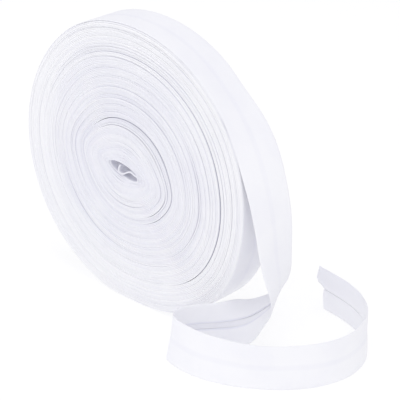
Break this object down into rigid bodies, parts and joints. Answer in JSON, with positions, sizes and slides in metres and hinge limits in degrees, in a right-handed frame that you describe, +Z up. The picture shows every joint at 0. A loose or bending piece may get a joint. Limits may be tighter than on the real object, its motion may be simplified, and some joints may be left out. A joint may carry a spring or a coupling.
{
  "type": "roll of bias tape",
  "caption": "Roll of white folded bias tape standing on its rim, with its loose end pulled off and curled into a loop that stands on edge beside it.",
  "frame": {"origin": "middle of the small flat spot on which the roll stands, on the surface below it", "axes": "+Z up, Y along the roll's axis from its front face to its back face, +X towards the loose end"},
  "size_m": [0.2174, 0.1017, 0.1603],
  "materials": {
    "tape_cloth": "matt white plain-weave cotton blend, cut on the bias and pressed"
  },
  "bodies": {
    "root": {"wound_roll": "tape_cloth", "loose_end": "tape_cloth"}
  },
  "joints": []
}
